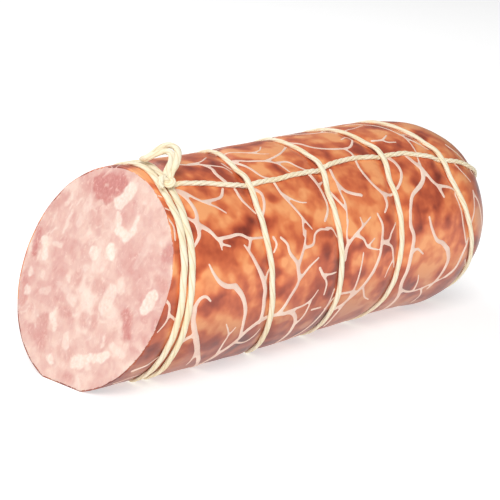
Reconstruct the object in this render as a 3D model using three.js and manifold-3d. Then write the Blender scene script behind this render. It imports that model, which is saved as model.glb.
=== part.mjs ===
// Cured ham sausage in a clear casing, cut at one end, gathered at the other and tied with twine.
// Millimetres, +Z up. +X runs along the sausage from the cut face to the gathered end, -Y is the
// front, and z = 0 is the surface that the sausage lies on.
//
// A place on the skin is a station along the axis and an angle round it. Angle 0 is the front,
// 90 the top, 180 the back and 270 the bottom.

import * as THREE from 'three';
import { mergeVertices } from 'three/addons/utils/BufferGeometryUtils.js';
import Module from 'manifold-3d';

const wasm = await Module();
wasm.setup();

// Sausage
const BODY_RADIUS = 48;
const AXIS_HEIGHT = 46.5;
const DOME_START = 194.9;
const DOME_LENGTH = 47.2;
const DOME_POWER = 2.235;
const MIDDLE_STATION = 118.4;
const CASING_WALL = 0.6;
const MEAT_CLEARANCE = 0.5;
const GAP = 0.3;

// Oblique cut, as a knife makes it: leaning back towards the top, and turned a little to the front
const CUT_STATION = 2;
const CUT_LEAN = 20;
const CUT_TURN = 3.1;
const UNCUT_STATION = -32;

// Gathered end of the casing
const NECK_RADIUS = 4.3;
const NECK_END = 247.6;
const TUFT_RADIUS = 8;
const TUFT_END = 252.3;

// Cotton twine
const TWINE_DIAMETER = 2.5;
const HOOP_WIDTH = 3.2;
const HOOP_THICKNESS = 2.4;
const BITE_DEPTH = 1.6;
const BITE_REACH = 6;
const CROSSING_LIFT = 3.6;
const CROSSING_FLAT = 6;
const CROSSING_SPREAD = 16;
const NECK_TIE_WIDTH = 5.2;

// Hoops: the station of the centre, and how far the plane leans to the front and to the top.
// A lean is the change of station for each millimetre off the axis. A hoop is also drawn along
// where it meets the front strand, and below the sausage.
const HOOPS = [
  { name: 'end_hoop_outer', station: 20.8, front: -0.169, top: 0.149, drawn: -1.4, below: 0 },
  { name: 'end_hoop_inner', station: 26.9, front: -0.202, top: 0.116, drawn: -1.2, below: 0 },
  { name: 'hoop_2', station: 79.3, front: -0.30, top: -0.115, drawn: 0, below: 0 },
  { name: 'hoop_3', station: 117.1, front: -0.148, top: -0.063, drawn: 3.4, below: 0 },
  { name: 'hoop_4', station: 151.4, front: 0.008, top: 0.008, drawn: 3.5, below: 0 },
  { name: 'hoop_5', station: 204.1, front: 0.02, top: -0.376, drawn: 4, below: -8 },
];
const LEAN_ENDS = 230;

// The body curves a little: how high its middle lies over the axis at the near and the far end,
// and where the dome takes it back to the axis
const BEND_NEAR = { station: 75, rise: -1.5 };
const BEND_FAR = { station: 170, rise: 1.3 };
const BEND_FADE = { from: 184, to: 204 };

// Where a hoop is drawn along, in degrees
const DRAWN_PEAK = 60;
const DRAWN_FROM = 36;
const DRAWN_TO = 95;
const BELOW_PEAK = 270;
const BELOW_SPREAD = 70;

// Lengthwise strands: [station, angle] along the body, then [radius, angle] over the domed end
const FRONT_RUN = [
  [31.6, 62], [45, 58.8], [53, 56], [60, 53.8], [78, 53.2], [98, 53.8], [110, 54], [120, 56.2],
  [136, 57.4], [149, 56], [165, 54.6], [172, 53.8], [183, 50.2], [197, 45.2], [207, 43], [216, 40.5],
];
const FRONT_OVER_DOME = [
  [42, 40], [39.5, 39.5], [36, 39], [31, 38.5], [25, 38], [18, 37.5], [12, 37], [7.7, 36],
];
const BACK_RUN = [
  [33.4, 226], [52, 228], [75, 227], [98, 225], [122, 224], [150, 226],
  [175, 228], [198, 226], [216, 224],
];
const BACK_OVER_DOME = [
  [42, 223.5], [39.5, 223], [36, 222], [31, 221], [25, 220], [18, 219], [12, 218], [7.7, 217],
];

// Knot on the end hoops, and what stands up from it: [station, angle, height over the body radius]
const KNOT = { station: 23.8, angle: 63, alongHalf: 5.6, roundHalf: 5.4, heightHalf: 2.6 };
const LOOP_OUTER_ROUTE = [
  [24.2, 62.3, 3], [26.7, 64.9, 4.9], [30, 67.3, 7], [33.2, 70.6, 8.5], [35.8, 75, 9.2],
  [37, 80.3, 8.7], [35.9, 83.3, 7.8], [33.2, 84.8, 5.8], [31.2, 87, 3.2], [30.7, 90.5, 1.2],
  [30.9, 94.5, 0.4],
];
const LOOP_INNER_ROUTE = [
  [22.8, 63.4, 2.8], [24.7, 66, 4.8], [27.6, 68.4, 6.6], [31, 72.1, 7.6], [32.6, 75.6, 7.8],
  [32.2, 78.9, 7.1], [30.2, 81, 5.6], [28.4, 83.2, 3.9], [27.7, 85.8, 2.3], [28, 88.5, 1.6],
];
const TAIL_ROUTE = [[22, 63.6, 4], [20, 62.6, 3.6], [18.6, 60.8, 2.6], [18.4, 58.4, 1.9]];

// Fineness of the meshes
const ROUND_STEPS = 36;
const HOOP_SIDES = 6;
const STRAND_SIDES = 6;
const CORD_SIDES = 8;
const ROUTE_PITCH = 3.5;
const BODY_ROWS = [
  -32, 2, 14, 17.5, 20.8, 23.85, 26.9, 30.2, 34, 44, 60, 73.2, 76.2, 79.3, 82.4, 85.4, 96,
  110.9, 114, 117.1, 120.2, 123.2, 133, 145.4, 148.4, 151.4, 154.4, 157.4, 172, 187, 198, 201,
];
const DOME_ROWS = [0.195, 0.26, 0.335, 0.48, 0.63, 0.77, 0.88, 0.955, 0.99];

// Materials
const paint = (color, roughness) => new THREE.MeshStandardMaterial({ color, roughness, metalness: 0 });
const MEAT = paint(0xe8b7ac, 0.45);
const CASING = paint(0xc8743f, 0.3);
const TWINE = paint(0xf1e6c4, 0.9);

const toRadians = THREE.MathUtils.degToRad;

// ---------------------------------------------------------------- the skin's shape

function domeRadius(station, length = DOME_LENGTH) {
  const along = THREE.MathUtils.clamp((station - DOME_START) / length, 0, 1);
  return BODY_RADIUS * (1 - along ** DOME_POWER) ** (1 / DOME_POWER);
}

function domeStation(radius) {
  const across = (radius / BODY_RADIUS) ** DOME_POWER;
  return DOME_START + DOME_LENGTH * (1 - across) ** (1 / DOME_POWER);
}

// How far a ring that follows a hoop is shifted along at this angle, at this distance off the axis
function shiftAlong(hoop, angle, radius) {
  const degrees = (THREE.MathUtils.radToDeg(angle) + 360) % 360;
  const { smoothstep } = THREE.MathUtils;
  const rise = smoothstep(degrees, DRAWN_FROM, DRAWN_PEAK);
  const fall = 1 - smoothstep(degrees, DRAWN_PEAK, DRAWN_TO);
  const low = 1 - smoothstep(Math.abs(degrees - BELOW_PEAK), 0, BELOW_SPREAD);
  const lean = hoop.front * Math.cos(angle) + hoop.top * Math.sin(angle);
  const pull = hoop.drawn * rise * fall + hoop.below * low;
  return radius * (lean + pull / BODY_RADIUS);
}

function hoopStation(hoop, angle) {
  return hoop.station + shiftAlong(hoop, angle, BODY_RADIUS);
}

// How far a hoop has bitten in at this place, from 0 to 1
function bite(station, angle) {
  let deepest = 0;
  for (const hoop of HOOPS) {
    const away = Math.abs(station - hoopStation(hoop, angle)) / BITE_REACH;
    if (away < 1) {
      deepest = Math.max(deepest, Math.cos(away * Math.PI / 2) ** 2);
    }
  }
  return deepest;
}

// How much the body's curve adds to the radius at this place
function bend(station, angle) {
  const share = (station - BEND_NEAR.station) / (BEND_FAR.station - BEND_NEAR.station);
  const rise = THREE.MathUtils.lerp(BEND_NEAR.rise, BEND_FAR.rise, THREE.MathUtils.clamp(share, 0, 1));
  const fade = 1 - THREE.MathUtils.smoothstep(station, BEND_FADE.from, BEND_FADE.to);
  return rise * fade * Math.sin(angle);
}

// Largest radius that keeps clear of the surface below, with room for the twine under a hoop
function floorRadius(angle, bitten, inset) {
  const down = -Math.sin(angle);
  if (down <= 0.1) {
    return Infinity;
  }
  const clearance = inset + bitten * (HOOP_THICKNESS + GAP);
  return (AXIS_HEIGHT - clearance) / down;
}

function skinRadius(station, angle) {
  const bitten = bite(station, angle);
  const round = domeRadius(station) + bend(station, angle) - BITE_DEPTH * bitten;
  return Math.min(round, floorRadius(angle, bitten, 0));
}

function place(station, angle, radius) {
  return new THREE.Vector3(
    station - MIDDLE_STATION,
    -radius * Math.cos(angle),
    AXIS_HEIGHT + radius * Math.sin(angle),
  );
}

// A point at a height above the skin, measured square to it
function aboveSkin(station, angle, height) {
  const step = 0.5;
  const rise = domeRadius(station + step) - domeRadius(station - step);
  const slope = Math.atan2(-rise, 2 * step);
  const radius = skinRadius(station, angle) + height * Math.cos(slope);
  return place(station + height * Math.sin(slope), angle, radius);
}

// ---------------------------------------------------------------- meshes and solids

function toSolid(geometry) {
  const bare = geometry.clone();
  bare.deleteAttribute('normal');
  bare.deleteAttribute('uv');
  const merged = mergeVertices(bare, 1e-3);
  return new wasm.Manifold(new wasm.Mesh({
    numProp: 3,
    vertProperties: new Float32Array(merged.attributes.position.array),
    triVerts: new Uint32Array(merged.index.array),
  }));
}

function toGeometry(solid) {
  const { vertProperties, triVerts } = solid.getMesh();
  const geometry = new THREE.BufferGeometry();
  geometry.setAttribute('position', new THREE.BufferAttribute(new Float32Array(vertProperties), 3));
  geometry.setIndex(new THREE.BufferAttribute(new Uint32Array(triVerts), 1));
  geometry.computeVertexNormals();
  return geometry;
}

// ---------------------------------------------------------------- meat filling and casing

// The lean of the mesh rows follows the hoops, so that each hoop bites along one row
function rowLean(station) {
  const last = HOOPS.at(-1);
  if (station <= HOOPS[0].station) {
    return HOOPS[0];
  }
  const stops = [...HOOPS, { station: LEAN_ENDS, front: 0, top: 0, drawn: 0, below: 0 }];
  if (station >= LEAN_ENDS) {
    return stops.at(-1);
  }
  const next = stops.findIndex((stop) => stop.station > station);
  const [from, to] = [stops[next - 1] ?? last, stops[next]];
  const share = (station - from.station) / (to.station - from.station);
  return {
    front: THREE.MathUtils.lerp(from.front, to.front, share),
    top: THREE.MathUtils.lerp(from.top, to.top, share),
    drawn: THREE.MathUtils.lerp(from.drawn, to.drawn, share),
    below: THREE.MathUtils.lerp(from.below, to.below, share),
  };
}

// A profile that runs from the uncut end to the middle of the dome, inset from the skin
function insetProfile(inset) {
  const alongBody = BODY_ROWS.map((station) => new THREE.Vector2(domeRadius(station) - inset, station));
  const overDome = DOME_ROWS.map((share) => {
    const station = DOME_START + share * (DOME_LENGTH - inset);
    const radius = domeRadius(station, DOME_LENGTH - inset) * (1 - inset / BODY_RADIUS);
    return new THREE.Vector2(radius, station);
  });
  return [...alongBody, ...overDome];
}

// Turns a profile round the axis, then leans its rings, pulls them in and rests them on the surface
function turnSkin(profile) {
  const geometry = new THREE.LatheGeometry(profile, ROUND_STEPS);
  const vertices = geometry.attributes.position;
  for (let i = 0; i < vertices.count; i += 1) {
    const ringStation = vertices.getY(i);
    const ringRadius = Math.hypot(vertices.getX(i), vertices.getZ(i));
    const angle = Math.atan2(vertices.getX(i), -vertices.getZ(i));
    const station = ringStation + shiftAlong(rowLean(ringStation), angle, ringRadius);
    const bitten = bite(station, angle);
    const inset = Math.max(0, domeRadius(ringStation) - ringRadius);
    const bent = domeRadius(station) - domeRadius(ringStation) + bend(station, angle);
    const pulled = ringRadius + bent - BITE_DEPTH * bitten;
    const radius = ringRadius < 0.01 ? 0 : Math.min(pulled, floorRadius(angle, bitten, inset));
    const point = place(station, angle, radius);
    vertices.setXYZ(i, point.x, point.y, point.z);
  }
  return toSolid(geometry);
}

// The block of material that the knife takes away
function cutAway() {
  const reach = 200;
  const lean = toRadians(CUT_LEAN);
  const turn = toRadians(CUT_TURN);
  const outward = new THREE.Vector3(
    -Math.cos(turn) * Math.cos(lean),
    -Math.sin(turn) * Math.cos(lean),
    Math.sin(lean),
  );
  const block = new THREE.BoxGeometry(reach, reach, reach);
  block.translate(reach / 2, 0, 0);
  const facing = new THREE.Quaternion().setFromUnitVectors(new THREE.Vector3(1, 0, 0), outward);
  block.applyQuaternion(facing);
  const centre = place(CUT_STATION, 0, 0);
  block.translate(centre.x, centre.y, centre.z);
  return toSolid(block);
}

function meatFilling() {
  const inset = CASING_WALL + MEAT_CLEARANCE;
  const profile = insetProfile(inset);
  const ends = [
    new THREE.Vector2(0, DOME_START + DOME_LENGTH - inset),
    new THREE.Vector2(0, UNCUT_STATION),
  ];
  return turnSkin([ends[1], ...profile, ends[0]]).subtract(cutAway());
}

// A thin bag: open at the cut, closed over the dome and drawn together into a neck and a tuft
function casing() {
  const outside = insetProfile(0);
  const inside = insetProfile(CASING_WALL).reverse();
  const gathered = [
    new THREE.Vector2(NECK_RADIUS, domeStation(NECK_RADIUS) + 0.2),
    new THREE.Vector2(NECK_RADIUS, NECK_END),
    new THREE.Vector2(TUFT_RADIUS * 0.8, NECK_END + 1.6),
    new THREE.Vector2(TUFT_RADIUS, TUFT_END - 0.4),
    new THREE.Vector2(TUFT_RADIUS * 0.7, TUFT_END),
    new THREE.Vector2(0, TUFT_END),
  ];
  const innerEnd = new THREE.Vector2(0, DOME_START + DOME_LENGTH - CASING_WALL);
  const shell = turnSkin([innerEnd, ...inside, ...outside, ...gathered]);
  return shell.subtract(cutAway());
}

// ---------------------------------------------------------------- twine

// [station, angle in degrees] for each lengthwise strand, at an even pitch
function strandRoute(run, overDome) {
  const stations = new THREE.CatmullRomCurve3(run.map(([station, angle]) => (
    new THREE.Vector3(station, angle, 0)
  )));
  const length = run.at(-1)[0] - run[0][0];
  const along = stations.getPoints(Math.round(length / ROUTE_PITCH)).map(({ x, y }) => [x, y]);
  return [...along, ...overDome.map(([radius, angle]) => [domeStation(radius), angle])];
}

const FRONT_ROUTE = strandRoute(FRONT_RUN, FRONT_OVER_DOME);
const BACK_ROUTE = strandRoute(BACK_RUN, BACK_OVER_DOME);

function rod(points, radius, sides) {
  const section = new THREE.Shape();
  for (let i = 0; i < sides; i += 1) {
    const turn = 2 * Math.PI * i / sides;
    const [x, y] = [radius * Math.cos(turn), radius * Math.sin(turn)];
    if (i === 0) {
      section.moveTo(x, y);
    } else {
      section.lineTo(x, y);
    }
  }
  const extrudePath = new THREE.CatmullRomCurve3(points);
  const steps = Math.min(80, Math.round(extrudePath.getLength() / ROUTE_PITCH));
  return toSolid(new THREE.ExtrudeGeometry(section, { steps, bevelEnabled: false, extrudePath }));
}

function strand(route) {
  const height = GAP + TWINE_DIAMETER / 2;
  const points = route.map(([station, angle]) => aboveSkin(station, toRadians(angle), height));
  return rod(points, TWINE_DIAMETER / 2, STRAND_SIDES);
}

// How far a hoop is lifted where it passes over a lengthwise strand
function crossingLift(hoop, angle) {
  let lift = 0;
  for (const route of [FRONT_ROUTE, BACK_ROUTE]) {
    for (const [station, degrees] of route) {
      const off = THREE.MathUtils.radToDeg(angle) - degrees;
      const away = Math.abs(((off + 540) % 360) - 180);
      const near = Math.abs(station - hoopStation(hoop, toRadians(degrees))) < ROUTE_PITCH;
      if (near) {
        const fade = 1 - THREE.MathUtils.smoothstep(away, CROSSING_FLAT, CROSSING_SPREAD);
        lift = Math.max(lift, CROSSING_LIFT * fade);
      }
    }
  }
  return lift;
}

// A ring of twine laid round the body, wider than it is thick
function hoopRing(hoop) {
  const ringRadius = 10;
  const geometry = new THREE.TorusGeometry(ringRadius, 1, HOOP_SIDES, ROUND_STEPS);
  const vertices = geometry.attributes.position;
  for (let i = 0; i < vertices.count; i += 1) {
    const [x, y] = [vertices.getX(i), vertices.getY(i)];
    const outward = Math.hypot(x, y) - ringRadius;
    const sideways = vertices.getZ(i);
    const angle = Math.atan2(x, -y);
    const station = hoopStation(hoop, angle);
    const height = GAP + HOOP_THICKNESS * (1 + outward) / 2 + crossingLift(hoop, angle);
    const radius = skinRadius(station, angle) + height;
    const point = place(station - sideways * HOOP_WIDTH / 2, angle, radius);
    vertices.setXYZ(i, point.x, point.y, point.z);
  }
  return toSolid(geometry);
}

// Two turns of twine drawn tight on the gathered neck
function neckTie() {
  const thickness = HOOP_THICKNESS;
  const ringRadius = NECK_RADIUS + GAP + thickness / 2;
  const ring = new THREE.TorusGeometry(ringRadius, thickness / 2, 8, 20);
  ring.scale(1, 1, NECK_TIE_WIDTH / thickness);
  ring.rotateY(Math.PI / 2);
  const centre = place((domeStation(NECK_RADIUS) + NECK_END) / 2 + 0.2, 0, 0);
  ring.translate(centre.x, centre.y, centre.z);
  return toSolid(ring);
}

function knotBody(clearance = 0) {
  const ball = new THREE.SphereGeometry(1, 20, 12);
  ball.scale(KNOT.alongHalf + clearance, KNOT.roundHalf + clearance, KNOT.heightHalf + clearance);
  const angle = toRadians(KNOT.angle);
  ball.rotateX(Math.PI / 2 - angle);
  const seat = BODY_RADIUS + bend(KNOT.station, angle) - BITE_DEPTH + GAP + HOOP_THICKNESS;
  const centre = place(KNOT.station, angle, seat + GAP + KNOT.heightHalf);
  ball.translate(centre.x, centre.y, centre.z);
  return toSolid(ball);
}

function freeRun(route, radius = TWINE_DIAMETER / 2) {
  const points = route.map(([station, angle, height]) => (
    place(station, toRadians(angle), BODY_RADIUS + height)
  ));
  return rod(points, radius, CORD_SIDES);
}

// ---------------------------------------------------------------- the tied sausage

const knotRoom = knotBody(GAP);
const outerRoom = freeRun(LOOP_OUTER_ROUTE, TWINE_DIAMETER / 2 + GAP);

const pieces = [
  ['meat_filling', meatFilling(), MEAT],
  ['casing', casing(), CASING],
  ...HOOPS.map((hoop) => [hoop.name, hoopRing(hoop), TWINE]),
  ['front_strand', strand(FRONT_ROUTE), TWINE],
  ['back_strand', strand(BACK_ROUTE), TWINE],
  ['neck_tie', neckTie(), TWINE],
  ['main_knot', knotBody(), TWINE],
  ['hanging_loop_outer', freeRun(LOOP_OUTER_ROUTE).subtract(knotRoom), TWINE],
  ['hanging_loop_inner', freeRun(LOOP_INNER_ROUTE).subtract(knotRoom).subtract(outerRoom), TWINE],
  ['knot_tail', freeRun(TAIL_ROUTE).subtract(knotRoom).subtract(outerRoom), TWINE],
];

const sausage = new THREE.Group();
for (const [name, solid, material] of pieces) {
  const mesh = new THREE.Mesh(toGeometry(solid), material);
  mesh.name = name;
  sausage.add(mesh);
}

export default sausage;
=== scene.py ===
# A cooked ham sausage, cut at one end, in a vein-patterned casing tied with cotton twine.
# Lengths are in millimetres until a mesh is finished, and angles round the sausage run from
# 0 at the front over 90 at the top and 180 at the back to 270 at the bottom.

import math
import random
import bmesh
import bpy
from mathutils import Matrix, Vector, noise


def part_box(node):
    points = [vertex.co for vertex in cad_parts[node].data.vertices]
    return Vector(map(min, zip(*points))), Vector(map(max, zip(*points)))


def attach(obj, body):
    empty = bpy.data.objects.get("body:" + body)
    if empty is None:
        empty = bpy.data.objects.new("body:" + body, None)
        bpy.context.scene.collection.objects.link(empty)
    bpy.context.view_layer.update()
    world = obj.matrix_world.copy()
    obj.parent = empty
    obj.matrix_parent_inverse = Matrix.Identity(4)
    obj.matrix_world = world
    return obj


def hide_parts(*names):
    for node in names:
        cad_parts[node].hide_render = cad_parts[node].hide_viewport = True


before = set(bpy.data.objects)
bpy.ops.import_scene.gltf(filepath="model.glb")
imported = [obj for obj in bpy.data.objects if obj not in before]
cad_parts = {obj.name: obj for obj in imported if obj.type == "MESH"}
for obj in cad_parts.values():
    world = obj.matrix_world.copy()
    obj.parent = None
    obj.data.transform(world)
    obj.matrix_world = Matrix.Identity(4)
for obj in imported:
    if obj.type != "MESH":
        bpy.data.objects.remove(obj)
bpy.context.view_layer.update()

scene = bpy.context.scene
MM = 0.001


# ---- Studio -----------------------------------------------------------------------------
# A white sweep of paper under a large soft lamp at the front, with a weaker one behind to
# lift the top edge. The camera looks at the cut end from the front left, a little from above.

CAMERA_PLACE = Vector((-528.8, -524.2, 241.6))
CAMERA_AZIMUTH = math.radians(-44.06)
CAMERA_ELEVATION = math.radians(15.22)
CAMERA_ROLL = math.radians(2.27)
CAMERA_LENS = 113.74
PAPER_WIDTH = 6.0


def aimed(direction, roll=0.0):
    """A rotation whose -Z looks along a direction, with +Y up unless it is rolled."""
    back = -direction.normalized()
    right = Vector((0, 0, 1)).cross(back).normalized()
    up = back.cross(right)
    level_right = math.cos(roll) * right + math.sin(roll) * up
    level_up = math.cos(roll) * up - math.sin(roll) * right
    return Matrix((level_right, level_up, back)).transposed().to_4x4()


look = Vector((
    -math.sin(CAMERA_AZIMUTH) * math.cos(CAMERA_ELEVATION),
    math.cos(CAMERA_AZIMUTH) * math.cos(CAMERA_ELEVATION),
    -math.sin(CAMERA_ELEVATION),
))
camera_data = bpy.data.cameras.new("camera")
camera_data.lens = CAMERA_LENS
camera_data.sensor_width = 36
camera_data.clip_start = 0.05
camera = bpy.data.objects.new("camera", camera_data)
camera.matrix_world = Matrix.Translation(CAMERA_PLACE * MM) @ aimed(look, CAMERA_ROLL)
scene.collection.objects.link(camera)
scene.camera = camera


def soft_lamp(name, place, size, power):
    lamp_data = bpy.data.lights.new(name, "AREA")
    lamp_data.shape = "DISK"
    lamp_data.size = size
    lamp_data.energy = power
    lamp = bpy.data.objects.new(name, lamp_data)
    lamp.matrix_world = Matrix.Translation(place) @ aimed(-Vector(place))
    scene.collection.objects.link(lamp)


soft_lamp("key_lamp", (-0.95, -0.90, 1.20), 1.0, 22)
soft_lamp("rim_lamp", (-0.1, 1.3, 1.0), 1.8, 16)

world = bpy.data.worlds.new("studio")
world.use_nodes = True
world.node_tree.nodes["Background"].inputs["Color"].default_value = (1, 1, 1, 1)
world.node_tree.nodes["Background"].inputs["Strength"].default_value = 0.28
scene.world = world
scene.view_settings.view_transform = "Standard"
scene.view_settings.look = "None"


class Wire:
    """A shader socket's value, with the arithmetic that the finishes are written in."""

    def __init__(self, tree, socket):
        self.tree = tree
        self.socket = socket

    def math(self, operation, *others):
        values = dict(enumerate((self, *others)))
        return node(self.tree, "ShaderNodeMath", {"operation": operation}, values)

    def __add__(self, other):
        return self.math("ADD", other)

    __radd__ = __add__

    def __mul__(self, other):
        return self.math("MULTIPLY", other)

    def __sub__(self, other):
        return self.math("SUBTRACT", other)

    def __rsub__(self, other):
        return node(self.tree, "ShaderNodeMath", {"operation": "SUBTRACT"}, {0: other, 1: self})

    def step(self, low, high):
        """0 below low and 1 above high, with a smooth rise between them."""
        settings = {"interpolation_type": "SMOOTHSTEP"}
        return node(self.tree, "ShaderNodeMapRange", settings, {0: self, 1: low, 2: high, 3: 0.0, 4: 1.0})


def node(tree, kind, settings, values, output=0):
    """Adds a node, sets it up, joins or sets its sockets, and gives one output back."""
    made = tree.nodes.new(kind)
    for name, setting in settings.items():
        if name == "stops":
            ramp = made.color_ramp.elements
            ramp.remove(ramp[1])
            ramp[0].position = setting[0][0]
            ramp[0].color = (*setting[0][1], 1)
            for position, colour in setting[1:]:
                ramp.new(position).color = (*colour, 1)
        else:
            setattr(made, name, setting)
    for name, value in values.items():
        if isinstance(value, Wire):
            tree.links.new(value.socket, made.inputs[name])
        else:
            made.inputs[name].default_value = value
    return Wire(tree, made.outputs[output])


def blend(tree, share, first, second, how="MIX"):
    """A colour that runs from the first to the second as the share runs from 0 to 1."""
    settings = {"data_type": "RGBA", "blend_type": how, "clamp_factor": True}
    ends = [value if isinstance(value, Wire) else (*value, 1) for value in (first, second)]
    return node(tree, "ShaderNodeMix", settings, {0: share, 6: ends[0], 7: ends[1]}, output=2)


def srgb(red, green, blue):
    """A linear colour from the 0 to 255 values of a paint chart."""
    return tuple(((v / 255 + 0.055) / 1.055) ** 2.4 if v > 10 else v / 3294.6 for v in (red, green, blue))


def finish(name, **uniform):
    """A new surface finish: the material, its tree and its main shader."""
    material = bpy.data.materials.new(name)
    material.use_nodes = True
    tree = material.node_tree
    shader = tree.nodes["Principled BSDF"]
    for socket, value in uniform.items():
        shader.inputs[socket.replace("_", " ")].default_value = value
    return material, tree, shader


def speckle(tree, where, scale, detail=3.0, rough=0.5, warp=0.0):
    values = {"Vector": where, "Scale": scale, "Detail": detail, "Roughness": rough, "Distortion": warp}
    return node(tree, "ShaderNodeTexNoise", {"noise_dimensions": "3D"}, values)


paper, tree, shader = finish("paper", Roughness=0.9, Specular_IOR_Level=0.1)
shader.inputs["Base Color"].default_value = (0.6, 0.6, 0.6, 1)
shader.inputs["Emission Color"].default_value = (1, 1, 1, 1)
shader.inputs["Emission Strength"].default_value = 0.58
bm = bmesh.new()
bmesh.ops.create_grid(bm, x_segments=4, y_segments=4, size=PAPER_WIDTH / 2)
sheet_mesh = bpy.data.meshes.new("paper_sweep")
bm.to_mesh(sheet_mesh)
bm.free()
sheet_mesh.materials.append(paper)
floor = bpy.data.objects.new("paper_sweep", sheet_mesh)
scene.collection.objects.link(floor)


# ---- Shape of the sausage ---------------------------------------------------------------
# A stuffed tube that ends in a blunt dome. The twine bites into it, the casing swells a
# little between the hoops, and its own weight presses a flat strip along the bottom.

casing_low, casing_high = (Vector(corner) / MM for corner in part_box("casing"))
RADIUS = (casing_high.y - casing_low.y) / 2
AXIS_HEIGHT = 46.5
TUFT_END = 252.3
MIDDLE_STATION = TUFT_END - casing_high.x
DOME_START = 194.9
DOME_LENGTH = 47.2
DOME_POWER = 2.235
CUT_STATION = 2.0
CUT_LEAN = math.radians(20)
CUT_TURN = math.radians(3.1)
TWINE_WIDTH = 3.1
TWINE_THICKNESS = 2.1
BITE_DEPTH = 0.9
BITE_REACH = 7.0
SWELL = 0.3
CUT_NARROWING = 1.3

# (name, station of the centre, lean to the front, lean to the top, drawn along where it meets
# the front strand, drawn along below), a lean in mm for each mm
HOOPS = [
    ("end_hoop_outer", 20.8, -0.169, 0.149, -1.4, 0.0),
    ("end_hoop_inner", 26.9, -0.202, 0.116, -1.2, 0.0),
    ("hoop_2", 79.3, -0.30, -0.115, 0.0, 0.0),
    ("hoop_3", 117.1, -0.148, -0.063, 3.4, 0.0),
    ("hoop_4", 151.4, 0.008, 0.008, 3.5, 0.0),
    ("hoop_5", 204.1, 0.02, -0.376, 4.0, -8.0),
]
# Where round the sausage a hoop starts, peaks and stops being drawn along by the front strand,
# and the middle and half width of the pull below, in degrees
DRAWN_FROM = 36
DRAWN_PEAK = 60
DRAWN_TO = 95
BELOW_PEAK = 270
BELOW_SPREAD = 70

# The body curves a little: how high its middle lies over its axis at a near and a far station,
# and where the dome takes it back to the axis
NEAR_BEND_STATION = 75
NEAR_RISE = -1.5
FAR_BEND_STATION = 170
FAR_RISE = 1.3
BEND_FADES_FROM = 184
BEND_FADES_TO = 204


def smooth(low, high, value):
    """0 on the low side and 1 on the high side, whichever way round they lie."""
    share = min(1.0, max(0.0, (value - low) / (high - low)))
    return share * share * (3 - 2 * share)


def place(station, angle, radius):
    return Vector((
        station - MIDDLE_STATION,
        -radius * math.cos(angle),
        AXIS_HEIGHT + radius * math.sin(angle),
    ))


def dome_radius(station):
    along = min(1.0, max(0.0, (station - DOME_START) / DOME_LENGTH))
    return RADIUS * (1 - along**DOME_POWER) ** (1 / DOME_POWER)


def dome_station(radius):
    return DOME_START + DOME_LENGTH * (1 - (radius / RADIUS) ** DOME_POWER) ** (1 / DOME_POWER)


def shift_along(lean, angle, radius):
    """How far a ring with a hoop's lean is shifted along at this angle and radius."""
    front, top, drawn, below = lean
    degrees = math.degrees(angle) % 360
    pull = drawn * smooth(DRAWN_FROM, DRAWN_PEAK, degrees) * smooth(DRAWN_TO, DRAWN_PEAK, degrees)
    pull += below * smooth(BELOW_SPREAD, 0, abs(degrees - BELOW_PEAK))
    return radius * (front * math.cos(angle) + top * math.sin(angle) + pull / RADIUS)


def hoop_station(hoop, angle):
    return hoop[1] + shift_along(hoop[2:], angle, RADIUS)


def bite(station, angle):
    """How far the nearest hoop has bitten in here, from 0 to 1."""
    nearest = min(abs(station - hoop_station(hoop, angle)) for hoop in HOOPS)
    return math.cos(min(1.0, nearest / BITE_REACH) * math.pi / 2) ** 2


def bend(station):
    """How far the body's middle lies above its axis here, as it curves a little."""
    share = (station - NEAR_BEND_STATION) / (FAR_BEND_STATION - NEAR_BEND_STATION)
    rise = NEAR_RISE + (FAR_RISE - NEAR_RISE) * min(1.0, max(0.0, share))
    return rise * smooth(BEND_FADES_TO, BEND_FADES_FROM, station)


def skin_radius(station, angle):
    bitten = bite(station, angle)
    spot = place(station, angle, RADIUS)
    swell = SWELL * (1 - bitten) * smooth(-10, 40, station) * (1 - smooth(200, 225, station))
    ripple = 0.45 * noise.noise(spot / 26) + 0.22 * noise.noise(spot / 9)
    pucker = 0.5 * bitten * (1 - bitten) * noise.noise(Vector((spot.x / 14, spot.y / 3.6, spot.z / 3.6)))
    narrowing = CUT_NARROWING * (1 - smooth(0, 26, station))
    radius = dome_radius(station) - BITE_DEPTH * bitten + swell - narrowing
    radius += bend(station) * math.sin(angle)
    radius += (ripple + pucker) * smooth(0, 12, dome_radius(station))
    down = -math.sin(angle)
    if down > 0.1:
        clearance = bitten * (TWINE_THICKNESS - 0.1)
        radius = min(radius, (AXIS_HEIGHT - clearance) / down)
    return radius


def cut_station(angle, radius):
    """Where the knife's plane lies at this angle and radius."""
    across = math.tan(CUT_TURN) * math.cos(angle)
    return CUT_STATION + radius * (across + math.tan(CUT_LEAN) / math.cos(CUT_TURN) * math.sin(angle))


def on_skin(station, angle, height):
    """A point this high above the skin, and the direction square to the skin there."""
    rise = dome_radius(station + 0.5) - dome_radius(station - 0.5)
    slope = math.atan(-rise)
    radius = skin_radius(station, angle) + height * math.cos(slope)
    outward = Vector((math.sin(slope), -math.cos(slope) * math.cos(angle), math.cos(slope) * math.sin(angle)))
    return place(station + height * math.sin(slope), angle, radius), outward


def finished(name, bm, material, slot, *nodes):
    """Makes a piece of the sausage from a mesh in millimetres."""
    bmesh.ops.scale(bm, vec=(MM, MM, MM), verts=bm.verts)
    mesh = bpy.data.meshes.new(name)
    bm.to_mesh(mesh)
    bm.free()
    mesh.materials.append(material)
    mesh.polygons.foreach_set("use_smooth", [True] * len(mesh.polygons))
    piece = bpy.data.objects.new(name, mesh)
    scene.collection.objects.link(piece)
    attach(piece, "root")
    if nodes:
        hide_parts(*nodes)
    return piece


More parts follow.
